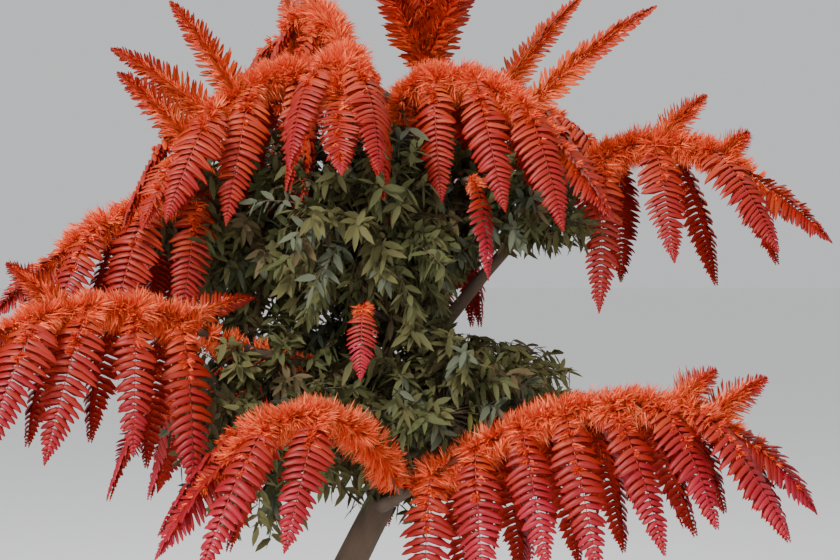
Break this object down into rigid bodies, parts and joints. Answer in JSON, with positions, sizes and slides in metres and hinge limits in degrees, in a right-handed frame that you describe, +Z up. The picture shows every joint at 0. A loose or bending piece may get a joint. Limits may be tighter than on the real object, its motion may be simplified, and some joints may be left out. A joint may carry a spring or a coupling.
{
  "type": "staghorn sumac tree",
  "caption": "Small staghorn sumac in autumn colour: leaning trunk, arching boughs bristly with orange leaflets, hanging red pinnate fronds, grey-green leaves inside.",
  "frame": {"origin": "the middle of the flat cut under the trunk, at ground level: the mount named ground", "axes": "+Z up; +X to the right in the picture's view; +Y away from the viewer"},
  "size_m": [1.9504, 1.6131, 2.2995],
  "materials": {
    "bark": "matte, finely furrowed",
    "scarlet": "matte, orange to crimson",
    "leaf": "matte, grey-green"
  },
  "bodies": {
    "root": {"crown_top": "scarlet", "inner_front": "scarlet", "inner_front_twig": "bark", "inner_right": "scarlet", "inner_right_twig": "bark", "leader": "bark", "leaves_lower_1": "leaf", "leaves_lower_2": "leaf", "leaves_lower_3": "leaf", "leaves_lower_4": "leaf", "leaves_upper_1": "leaf", "leaves_upper_2": "leaf", "leaves_upper_3": "leaf", "leaves_upper_4": "leaf", "low_back": "scarlet", "low_back_bough": "bark", "low_back_left": "scarlet", "low_back_left_bough": "bark", "low_far_left": "scarlet", "low_far_left_bough": "bark", "low_far_right": "scarlet", "low_far_right_bough": "bark", "low_front": "scarlet", "low_front_bough": "bark", "low_left": "scarlet", "low_left_bough": "bark", "low_right": "scarlet", "low_right_bough": "bark", "mid_back": "scarlet", "mid_back_bough": "bark", "mid_back_left": "scarlet", "mid_back_left_bough": "bark", "mid_left": "scarlet", "mid_left_bough": "bark", "mid_right": "scarlet", "mid_right_bough": "bark", "top_back": "scarlet", "top_back_bough": "bark", "top_back_left": "scarlet", "top_back_left_bough": "bark", "top_back_right": "scarlet", "top_back_right_bough": "bark", "top_front": "scarlet", "top_front_bough": "bark", "top_left": "scarlet", "top_left_bough": "bark", "top_right": "scarlet", "top_right_bough": "bark", "trunk": "bark"}
  },
  "joints": []
}
